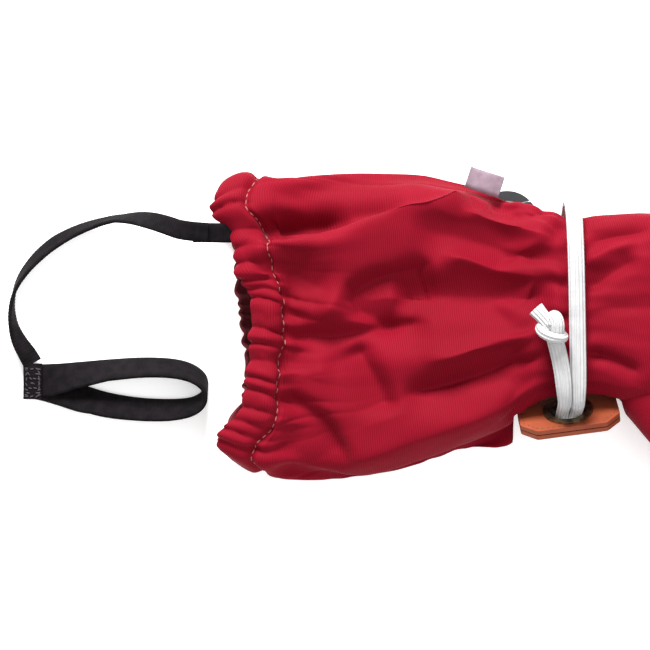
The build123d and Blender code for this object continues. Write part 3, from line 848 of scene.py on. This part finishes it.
# Folds on the back as (line, height, wide side, steep side, fade at the ends). A height below
# zero is a valley. The wide side lies left of the line's direction.
FOLDS = [
    ([(-104, 49), (-113, 44.6), (-124, 41.6), (-134.6, 39.0), (-143, 36.6), (-152, 33.0), (-160, 30.4),
      (-176, 27.2), (-186, 25.0)], 4.6, 11.0, 2.4, 0.10),
    ([(-190, 28.0), (-176, 30.6), (-160, 33.8), (-152, 36.6), (-143, 40.0), (-134.6, 42.4),
      (-126, 44.2)], -4.4, 9.0, 3.0, 0.2),
    ([(-184, 37), (-177, 34.2), (-171, 34.6), (-159, 38.4), (-146, 41.0)], -5.2, 5.0, 5.0, 0.25),
    ([(-186, 18.5), (-176, 16.5), (-166, 15.0), (-152, 6.4)], -4.0, 7.5, 8.5, 0.25),
    ([(-118, 20.4), (-124, 19.3), (-138.6, 14.6), (-145.6, 9.6), (-146.6, 6.2), (-144.6, 2.6), (-137, -1.2),
      (-128, -5.0)], -4.6, 15.0, 3.2, 0.14),
    ([(-134, 7.0), (-120, 8.0), (-104, 7.6), (-90, 8.0), (-74, 7.2)], -5.6, 8.5, 8.5, 0.14),
    ([(-178, -4.6), (-167, -6.6), (-153, -7.3), (-134, -4.2), (-118, -1.0)], -4.2, 3.0, 8.0, 0.2),
    ([(-146, -8.0), (-143.6, -14), (-140.4, -20.7), (-137, -28), (-133.4, -38)], -4.0, 4.0, 8.0, 0.2),
    ([(-174, -24), (-168.6, -29.6), (-160, -35.4), (-155.4, -41.4), (-150.4, -50.4),
      (-148, -56)], -3.2, 2.6, 7.0, 0.2),
    ([(-158, -56), (-137.5, -49), (-120, -43), (-104, -37), (-92, -31), (-82, -25)], 3.0, 7.0, 7.0, 0.2),
    ([(-132, -30), (-118, -27), (-103, -22), (-90, -17), (-78, -13)], -4.4, 5.0, 5.0, 0.2),
    ([(-124, -17), (-108, -12.5), (-92, -7.5), (-78, -3)], 2.6, 4.5, 4.5, 0.25),
    ([(-128, 33), (-112, 31), (-98, 27), (-84, 22), (-74, 19)], -3.0, 5.5, 7.0, 0.2),
    ([(-118, 24), (-102, 19.5), (-88, 15.5), (-76, 13.5)], 2.6, 4.0, 4.0, 0.2),
    ([(-98, 47.5), (-93, 43.0), (-89.6, 38.6), (-82, 38.6), (-73.6, 39.4)], -2.2, 3.6, 3.0, 0.2),
    ([(-108, 41.0), (-98, 36.5), (-86, 31.5), (-75, 28.0)], 2.4, 4.0, 3.0, 0.2),
    ([(-67, 9.6), (-60.4, 12.9), (-53, 17.9), (-46, 22.5)], -2.0, 5.0, 2.6, 0.25),
    ([(-66, 2.0), (-56, 3.4), (-40, 3.8), (-20, 3.4)], -1.0, 2.6, 2.6, 0.25),
    ([(-66, -12), (-56, -15), (-44, -21)], -2.4, 3.0, 3.0, 0.25),
    ([(-66, 27), (-54, 30), (-40, 33)], -2.2, 3.0, 3.0, 0.25),
    ([(-66, 19), (-56, 24), (-46, 27)], 1.6, 2.5, 2.5, 0.25),
    ([(-170, 4), (-160, 8), (-150, -2)], 2.0, 7.0, 7.0, 0.3),
    ([(-176, -16), (-165, -20), (-152, -18)], 1.8, 8.0, 8.0, 0.3),
]

CASING = 12.0
COLUMNS = 420
CLOTH_SCALE = 4.0  # the cloth run is made larger than life, where the solver is steadier
CLOTH_FRAMES = 24
CLOTH_CAP = 7.0
FOLD_DEPTH = 1.4
SQUARE = 0.72  # how square the section is: 1 is an ellipse, less is boxier


SLACK_ROW_STEP = 3
SLACK_COLUMN_STEP = 4
SLACK_CLOTH = {
    "quality": 6, "mass": 0.25, "tension_stiffness": 25.0, "compression_stiffness": 12.0,
    "shear_stiffness": 6.0, "bending_stiffness": 0.6, "vertex_group_mass": "held",
    "pin_stiffness": 0.6, "shrink_min": -0.05, "use_pressure": True, "uniform_pressure_force": 1.2,
}
HEM_STRETCH = 62.0  # how far in from the hem the cuff is stretched to meet its edge
GATHER_MIDDLE = 0.62  # height of the gathers that leaves the cloth where it is
SEAM_WIDTH = 0.7
SEAM_DEPTH = 0.5

# The frame of the cord lock's leather tab, and half its length and width.
TAB_TURN = math.radians(7.5)
TAB_LEAN = math.radians(60.0)
TAB_ALONG = np.array([math.cos(TAB_TURN), math.sin(TAB_TURN), 0.0])
TAB_NORMAL = np.array([
    -math.sin(TAB_TURN) * math.sin(TAB_LEAN), math.cos(TAB_TURN) * math.sin(TAB_LEAN), math.cos(TAB_LEAN),
])
TAB_UP = np.cross(TAB_NORMAL, TAB_ALONG)
TAB_CENTRE = np.array([WRIST_X + 0.2, LOCK_Y, SEAM_Z])
TAB_HALF_LENGTH = 18.0
TAB_HALF_WIDTH = 11.0


def section_points(x):
    """One outline of the empty bag across X, evenly spaced, from the +Y side over the back."""
    fine = np.linspace(0.0, 2 * math.pi, 721)
    top, low = float(TOP_EDGE(x)), float(LOW_EDGE(x))
    high, deep = float(TOP_Z_CURVE(x)), float(LOW_Z_CURVE(x))
    c, s = np.cos(fine), np.sin(fine)
    y = (top + low) / 2 + (top - low) / 2 * np.sign(c) * np.abs(c) ** SQUARE
    z = (high + deep) / 2 + (high - deep) / 2 * np.sign(s) * np.abs(s) ** SQUARE
    run = np.concatenate([[0.0], np.cumsum(np.hypot(np.diff(y), np.diff(z)))])
    even = np.linspace(0.0, run[-1], COLUMNS, endpoint=False)
    return np.interp(even, run, y), np.interp(even, run, z)


def ring_normals(rows):
    """Outward directions of a grid of rings."""
    along = np.gradient(rows, axis=0)
    around = np.roll(rows, -1, axis=1) - np.roll(rows, 1, axis=1)
    n = np.cross(around, along)
    return n / (np.linalg.norm(n, axis=2)[..., None] + 1e-9)


def calmed(rows, times, reach):
    """Rings smoothed round and along, a number of times."""
    for _ in range(times):
        rows = (np.roll(rows, reach, axis=1) + 2 * rows + np.roll(rows, -reach, axis=1)) / 4
        rows[1:-1] = (rows[:-2] + 2 * rows[1:-1] + rows[2:]) / 4
    return rows


def fold_height(x, y):
    """The folds' height above the smooth back."""
    total = np.zeros(x.shape)
    for line, height, wide, steep, fade in FOLDS:
        d, place = near_line(x, y, line)
        width = np.where(d > 0, wide, steep)
        ends = smooth(place / fade) * smooth((1.0 - place) / fade)
        total += FOLD_DEPTH * height * np.exp(-(np.abs(d) / width) ** 1.6) * ends
    return total


def gathers(arc, from_edge, count, uneven, shift):
    """Rounded ridges of uneven width round the hem, with how far each one runs from the edge."""
    turn = 2 * math.pi * arc
    drift = 0.5 * np.sin(turn * 5 + shift) + 0.35 * np.sin(turn * 9 + 2 * shift)
    drift = drift + 0.3 * np.sin(turn * 14 + shift)
    slant = 0.022 * from_edge * (np.sin(turn * 3 + shift) + 0.7 * np.sin(turn * 8 - shift))
    place = arc * count + uneven * 2.0 * drift + slant
    ridge = np.abs(np.sin(math.pi * place)) ** 0.75
    share = 0.80 + 0.20 * np.sin(turn * 11 + 3 * shift) + 0.15 * np.sin(turn * 19 - shift)
    run = 7.5 + 4.0 * np.sin(turn * 7 + 2 * shift) + 2.5 * np.sin(turn * 13 + shift)
    return ridge * share, np.maximum(run, 3.0)


def shell_stations():
    """Places of the shell's rings, closest together at the hem, the wrist and the finger tips."""
    hem_end, before, after, dome = HEM_X + 16.0, WRIST_X - 14.0, WRIST_X + 14.0, 46.0
    return np.concatenate([
        np.linspace(0.0, 1.0, 40)[:-1] * 16.0 + HEM_X,
        np.linspace(hem_end, before, 118)[:-1],
        np.linspace(before, after, 46)[:-1],
        np.linspace(after, dome, 72)[:-1],
        dome + (TIP_X - 0.3 - dome) * np.sin(np.linspace(0.0, math.pi / 2, 34)),
    ])


def cord_pleats(x, arc, drift):
    """Gathers under the cord: pleats that open out on both sides of it."""
    away = np.abs(x - WRIST_X)
    pleats = np.sin(2 * math.pi * 13 * arc + 2.6 * drift + 0.02 * (x - WRIST_X))
    pleats += 0.45 * np.sin(2 * math.pi * 24 * arc - 3.0 * drift)
    side = np.where(x < WRIST_X, 1.0, 0.62)
    return side * 1.25 * pleats * np.exp(-away / 13.0) * smooth((away + 1.5) / 6.0)


def casing_shape(arc, from_edge):
    """The casing, puffed up to its stitch line and gathered on its elastic, and its edge's shift."""
    puff = np.sin(math.pi * np.clip(from_edge / CASING, 0.0, 1.0)) ** 0.7 * 1.7
    groove = -1.3 * np.exp(-((from_edge - CASING) / 1.4) ** 2)
    small, small_run = gathers(arc, from_edge, 39, 0.34, 7.0)
    large, _ = gathers(arc, from_edge, 17, 0.30, 19.0)
    hold = np.exp(-(np.maximum(from_edge - 9.0, 0.0) / small_run) ** 1.5)
    fade = np.exp(-(np.maximum(from_edge - 14.0, 0.0) / 13.0) ** 1.3)
    later = smooth((from_edge - 6.0) / 8.0) * fade
    lift = puff + groove + 2.1 * (small - GATHER_MIDDLE) * hold + 2.2 * (large - GATHER_MIDDLE) * later
    return lift, 1.1 * (GATHER_MIDDLE - small) * np.exp(-from_edge / 5.0)


def keep_above(rows, height, where):
    rows[..., 2] = np.where(where, np.maximum(rows[..., 2], height), rows[..., 2])


def shell_rows():
    """The smooth bag, then its folds, gathers and creases."""
    rows = []
    for x in shell_stations():
        y, z = section_points(x)
        rows.append(np.stack([np.full(COLUMNS, x), y, z], axis=1))
    rows = np.array(rows)

    # Views of the rows: they follow the stretch and the bulge, then stay at the bag before its folds.
    x, y, z = rows[..., 0], rows[..., 1], rows[..., 2]
    back = smooth((z - SEAM_Z + 5.0) / 12.0)

    # The hem reaches unevenly, so the cuff is stretched to it and eased out towards the wrist.
    hem = np.where(z > SEAM_Z, BACK_HEM(y), PALM_HEM(y))
    hem = hem[0] * back[0] + PALM_HEM(y[0]) * (1 - back[0])
    reach = 1.0 - smooth((x - HEM_X) / HEM_STRETCH)
    rows[..., 0] = x + (hem - HEM_X)[None] * reach

    # The palm side bulges out below the back near the lock, with a slight hollow above it.
    lobe = LOWER_LOBE(x) * smooth((-y - 10.0) / 25.0)
    rows[..., 1] -= lobe * np.exp(-((z - 9.0) / 4.2) ** 2) - 0.22 * lobe * np.exp(-((z - 16.5) / 2.4) ** 2)
    rows = rows + ring_normals(rows) * (fold_height(x, y) * back)[..., None]
    free = smooth((x - HEM_X - 14.0) / 14.0) * smooth((WRIST_X - 8.0 - x) / 12.0)
    free = np.maximum(free, 0.5 * smooth((x - WRIST_X - 14.0) / 20.0) * smooth((z - 8.0) / 8.0))
    rows = rows + settled(rows, free)
    n = ring_normals(rows)
    arc = np.arange(COLUMNS)[None] / COLUMNS
    drift = waves(x, y, z, (60.0, 22.0, 22.0), 2)
    lift = cord_pleats(x, arc, drift)

    # Soft creases: of an unfilled cuff, longer along it than across, and of the filled hand.
    cuff = smooth((WRIST_X - 6.0 - x) / 16.0)
    lift = lift + cuff * (0.3 + 0.7 * back) * 1.5 * drift
    hand = smooth((x - WRIST_X - 4.0) / 16.0)
    lift = lift + hand * 1.1 * waves(x, y, z, (42.0, 32.0, 32.0), 2) * (0.4 + 0.6 * back)

    from_edge = x - (HEM_X + (hem - HEM_X)[None] * reach[0])
    casing, edge_shift = casing_shape(arc, from_edge)
    rows[..., 0] += edge_shift

    # Side seams: a shallow groove along the fold of the bag.
    seam = np.exp(-((z - SEAM_Z) / SEAM_WIDTH) ** 2) * smooth((from_edge - CASING) / 4.0)
    lift = lift + casing - SEAM_DEPTH * seam
    rows = rows + n * lift[..., None]

    # The underside stays above the ground, over the clip and inside the palm patch.
    keep_above(rows, 0.35, True)
    clip = (np.abs(rows[..., 0] - WRIST_X + 22.0) < 27.0) & (rows[..., 1] > 4.0)
    keep_above(rows, 4.2, clip)
    patch = (np.abs(rows[..., 0]) < 33.0) & (np.abs(rows[..., 1]) < 24.0) & (rows[..., 2] < 8.0)
    keep_above(rows, 1.35, patch)
    return rows, from_edge


def slack_bag(coarse, weight):
    """The coarse bag as held cloth over a table; where its points lie after the run."""
    nu, nv, _ = coarse.shape
    faces = [
        (i * nv + j, i * nv + (j + 1) % nv, (i + 1) * nv + (j + 1) % nv, (i + 1) * nv + j)
        for i in range(nu - 1) for j in range(nv)
    ]
    mesh = bpy.data.meshes.new("slack_bag")
    mesh.from_pydata((coarse.reshape(-1, 3) * MM * CLOTH_SCALE).tolist(), [], faces)
    bag = link("slack_bag", mesh)
    held = bag.vertex_groups.new(name="held")
    for i, w in enumerate(weight):
        held.add([i], float(w), "REPLACE")
    rest = link("table", flat_square("table", 9))
    rest.modifiers.new("touch", "COLLISION")
    rest.collision.thickness_outer = 0.004
    cloth = bag.modifiers.new("cloth", "CLOTH")
    for key, value in SLACK_CLOTH.items():
        setattr(cloth.settings, key, value)
    cloth.collision_settings.distance_min = 0.004
    cloth.collision_settings.use_self_collision = False
    scene = bpy.context.scene
    for number in range(1, CLOTH_FRAMES + 1):
        scene.frame_set(number)
    evaluated = bag.evaluated_get(bpy.context.evaluated_depsgraph_get())
    places = np.array([v.co[:] for v in evaluated.data.vertices]).reshape(nu, nv, 3) / (MM * CLOTH_SCALE)
    scene.frame_set(1)
    for obj in (bag, rest):
        bpy.data.objects.remove(obj)
    return places


def settled(rows, free):
    """The coarse bag left to buckle as slack cloth; how far each point moved, eased onto the rows.

    Every third row and fourth column goes through a short cloth run. A free value of 0 holds a point.
    """
    keep_rows = np.arange(0, rows.shape[0], SLACK_ROW_STEP)
    coarse = rows[keep_rows][:, ::SLACK_COLUMN_STEP]
    weight = 1.0 - free[keep_rows][:, ::SLACK_COLUMN_STEP].ravel()
    moved = slack_bag(coarse, weight) - coarse
    size = np.linalg.norm(moved, axis=2)[..., None]
    moved = moved * np.minimum(1.0, CLOTH_CAP / (size + 1e-9))
    nu, nv, _ = coarse.shape
    at = np.arange(rows.shape[0]) / SLACK_ROW_STEP
    low = np.clip(np.floor(at).astype(int), 0, nu - 2)
    part = smooth(at - low)[:, None, None]
    between = moved[low] * (1 - part) + moved[low + 1] * part
    at = np.arange(rows.shape[1]) / SLACK_COLUMN_STEP
    low = np.floor(at).astype(int) % nv
    part = smooth(at - np.floor(at))[None, :, None]
    fine = between[:, low] * (1 - part) + between[:, (low + 1) % nv] * part
    return calmed(fine, 9, 1)


def clear_lock(rows):
    """Fabric keeps out of the room that the cord lock slides in."""
    local = rows - TAB_CENTRE
    a, b, c = local @ TAB_ALONG, local @ TAB_UP, local @ TAB_NORMAL
    limit, deepest = 3.6, -26.0
    inside = smooth((20.6 - np.abs(a)) / 1.8) * smooth((15.0 - np.abs(b)) / 3.0)
    push = np.where((c < limit) & (c > deepest), limit - c, 0.0) * inside
    return rows + push[..., None] * TAB_NORMAL


def hem_profile(rows, from_edge):
    """Rows that turn round the hem's edge and run back inside as the facing and lining."""
    ease = smooth((from_edge - 3.0) / 10.0)[..., None]
    calm = rows * (1 - ease) + calmed(rows, 14, 2) * ease
    wall = 0.9 + 9.6 * smooth((from_edge - 6.0) / 26.0)
    inner = calm - ring_normals(calm) * wall[..., None]

    # Away from the edge the lining keeps inside the bag's outline and off the ground.
    away = smooth((from_edge - 10.0) / 12.0)
    room = 4.5 * away
    y = np.clip(inner[..., 1], LOW_EDGE(inner[..., 0]) + room, TOP_EDGE(inner[..., 0]) - room)
    inner[..., 1] = inner[..., 1] * (1 - away) + y * away
    inner[..., 2] = np.maximum(inner[..., 2], 1.2 + 2.2 * away)
    first, second = rows[0], inner[0]
    middle = (first + second) / 2
    middle[:, 0] -= 0.55
    quarter = first * 0.75 + second * 0.25
    quarter[:, 0] -= 0.42
    return quarter, middle, inner


def mitten_shell():
    rows, from_edge = shell_rows()
    rows = clear_lock(rows)
    quarter, middle, inner = hem_profile(rows, from_edge)
    outside = np.concatenate([middle[None], quarter[None], rows])
    shell = grid_piece("mitten_shell", outside, SHELL, ends=(False, True))
    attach(shell, "mitten")
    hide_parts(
        "cuff_back_panel", "cuff_palm_panel", "hand_back_panel", "hand_palm_panel",
        "hem_casing", "hem_elastic", "hand_insulation", "hand_lining",
    )
    depth = int(np.argmin(np.abs(rows[:, 0, 0] - (WRIST_X + 30.0))))
    inside = np.concatenate([middle[None], inner[:depth]])
    lining = grid_piece("cuff_inside", inside, LINING, ends=(False, True))
    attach(lining, "mitten")
    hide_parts("cuff_lining")

    # Stitching round the casing, set down into its groove.
    n = ring_normals(rows)
    at = np.array([np.interp(CASING, from_edge[:60, j], np.arange(60)) for j in range(COLUMNS)])
    low = np.floor(at).astype(int)
    part = (at - low)[:, None]
    cols = np.arange(COLUMNS)
    line = rows[low, cols] * (1 - part) + rows[low + 1, cols] * part + n[low, cols] * 0.12
    seam = stitch_row("casing_stitches", [np.vstack([line, line[:1]])], THREAD, 2.0, 2.9, 0.24)
    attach(seam, "mitten")


mitten_shell()


# Thumb -------------------------------------------------------------------------------------------

THUMB_ROOT = np.array([-38.0, -25.0, SEAM_Z])
THUMB_TURN = math.radians(-45.0)
THUMB_WIDTH = curve_through([
    (-20, 13), (0, 30), (24, 33), (46, 32), (61, 27.6), (69, 20), (73, 11), (74, 5),
])
THUMB_DEPTH = curve_through([
    (-20, 12), (0, 24), (24, 26), (46, 26), (61, 22), (69, 16), (73, 9), (74, 4),
])
THUMB_START, THUMB_DOME, THUMB_CAP = -20.0, 58.0, 16.0
THUMB_COLUMNS = 150
THUMB_SQUARE = 0.8


def thumb_places():
    """Places of the thumb's rings, closer together over its rounded end."""
    tube = np.linspace(THUMB_START, THUMB_DOME, 110)[:-1]
    cap = THUMB_DOME + THUMB_CAP * np.sin(np.linspace(0, math.pi / 2, 36))
    return np.concatenate([tube, cap])


def thumb_shell():
    angle = np.linspace(0.0, 2 * math.pi, THUMB_COLUMNS, endpoint=False)
    c, s = np.cos(angle), np.sin(angle)
    places = thumb_places()
    along = np.array([math.cos(THUMB_TURN), math.sin(THUMB_TURN), 0.0])
    across = np.array([-math.sin(THUMB_TURN), math.cos(THUMB_TURN), 0.0])
    rows = []
    for place in places:
        w, d = float(THUMB_WIDTH(place)) / 2, float(THUMB_DEPTH(place)) / 2
        y = w * np.sign(c) * np.abs(c) ** THUMB_SQUARE
        z = d * np.sign(s) * np.abs(s) ** THUMB_SQUARE
        centre = THUMB_ROOT + along * place
        rows.append(centre + y[:, None] * across + z[:, None] * np.array([0.0, 0.0, 1.0]))
    rows = np.array(rows)
    x, y, z = rows[..., 0], rows[..., 1], rows[..., 2]
    n = ring_normals(rows)
    centre_row = rows.mean(axis=1, keepdims=True)
    n = n * np.sign(((rows - centre_row) * n).sum(axis=2).mean())
    lift = 0.9 * waves(x, y, z, (26.0, 24.0, 24.0), 2)

    # Small gathers over the thumb's end, and the groove of its side seam.
    ring = np.arange(THUMB_COLUMNS)[None] / THUMB_COLUMNS
    drift = 3 * waves(x, y, z, (30.0, 30.0, 30.0), 1)
    lift += 0.28 * np.sin(2 * math.pi * 13 * ring + drift) * smooth((places[:, None] - 50.0) / 14.0)
    lift -= SEAM_DEPTH * np.exp(-((z - SEAM_Z) / SEAM_WIDTH) ** 2)
    rows = clear_lock(rows + n * lift[..., None])
    thumb = grid_piece("thumb_shell", rows, SHELL)
    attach(thumb, "mitten")
    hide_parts("thumb_back_panel", "thumb_palm_panel", "thumb_insulation", "thumb_lining")


thumb_shell()


# Cord lock details ------------------------------------------------------------------------------

STITCH_INSET = 1.5
STITCH_CUT = 4.8
TEETH = 12
TEETH_OUTER = 6.45
TEETH_INNER = 4.6
TEETH_DROP = 1.5
TEETH_HEIGHT = 0.9


def tab_stitches():
    """A thread line inside the edge of the tab's upper ply."""
    centre = TAB_CENTRE + TAB_NORMAL * 1.85
    length, width, cut = TAB_HALF_LENGTH - STITCH_INSET, TAB_HALF_WIDTH - STITCH_INSET, STITCH_CUT
    corners = [
        (length, width - cut), (length - cut, width), (cut - length, width), (-length, width - cut),
        (-length, cut - width), (cut - length, -width), (length - cut, -width), (length, cut - width),
    ]
    line = [centre + TAB_ALONG * a + TAB_UP * b for a, b in corners + corners[:1]]
    row = stitch_row("tab_stitches", [np.array(line)], TAN_THREAD, 1.3, 2.0, 0.17)
    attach(row, "cord_lock")


def lock_teeth():
    """A rubber disc cut into a star, whose points grip the two strands."""
    along, up, normal, centre = (Vector(v) for v in (TAB_ALONG, TAB_UP, TAB_NORMAL, TAB_CENTRE))
    tooth = ((0.04, TEETH_OUTER, 0.0), (0.96, TEETH_OUTER, 0.0), (0.5, TEETH_INNER, TEETH_DROP))
    bm = bmesh.new()
    for i in range(TEETH):
        corners = []
        for part, radius, sink in tooth:
            a = 2 * math.pi * (i + part) / TEETH
            flat = centre + along * radius * math.cos(a) + up * radius * math.sin(a)
            corners.append(flat + normal * (TEETH_HEIGHT - sink))
        top = [bm.verts.new(c * MM) for c in corners]
        low = [bm.verts.new((c - normal * TEETH_HEIGHT) * MM) for c in corners]
        bm.faces.new(top)
        bm.faces.new(low[::-1])
        for j in range(3):
            k = (j + 1) % 3
            bm.faces.new((top[j], low[j], low[k], top[k]))
    bmesh.ops.recalc_face_normals(bm, faces=bm.faces)
    mesh = bpy.data.meshes.new("lock_grip_teeth")
    bm.to_mesh(mesh)
    bm.free()
    mesh.materials.append(RUBBER)
    star = link("lock_grip_teeth", mesh)
    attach(star, "cord_lock")


lock_teeth()
tab_stitches()


# Label --------------------------------------------------------------------------------------------

LABEL_CENTRE = np.array([WRIST_X - 30.0, 49.0, SEAM_Z])
LABEL_TURN = math.radians(-18.0)
LABEL_LENGTH = 12.8
LABEL_ROWS = 40

# The folded label's section, as (out of the seam, up).
LABEL_SECTION = [
    (-4.0, 0.3), (-2.0, 0.35), (0.0, 0.4), (2.0, 0.4), (3.4, 0.36), (3.75, 0.2), (3.85, 0.0),
    (3.75, -0.2), (3.4, -0.36), (2.0, -0.4), (0.0, -0.4), (-2.0, -0.35), (-4.0, -0.3),
]


def side_label():
    along = np.array([math.cos(LABEL_TURN), math.sin(LABEL_TURN), 0.0])
    out = np.array([-math.sin(LABEL_TURN), math.cos(LABEL_TURN), 0.0])
    rows = []
    for i in range(LABEL_ROWS):
        u = -LABEL_LENGTH / 2 + LABEL_LENGTH * i / (LABEL_ROWS - 1)
        ring = []
        for v, w in LABEL_SECTION:
            curl = 0.5 * math.sin(0.5 * u) * (v + 4.0) / 8.0
            ring.append(LABEL_CENTRE + along * u + out * v + np.array([0.0, 0.0, w + curl]))
        rows.append(ring)
    label = grid_piece("side_woven_label", rows, LABEL)
    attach(label, "mitten")
    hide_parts("side_label")


side_label()


# CAD nodes that keep their shape ------------------------------------------------------------------

FINISHES = {
    "lock_tab_upper": TAN, "lock_tab_lower": TAN, "lock_eyelet": BRASS, "lock_washer": BRASS,
    "lock_grip_disc": RUBBER, "palm_patch": PALM, "cord_anchor": SHELL, "clip_tape": WEBBING,
    "clip_frame": PLASTIC, "clip_gate": PLASTIC,
}
for node, finish in FINISHES.items():
    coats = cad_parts[node].data.materials
    coats.clear()
    coats.append(finish)
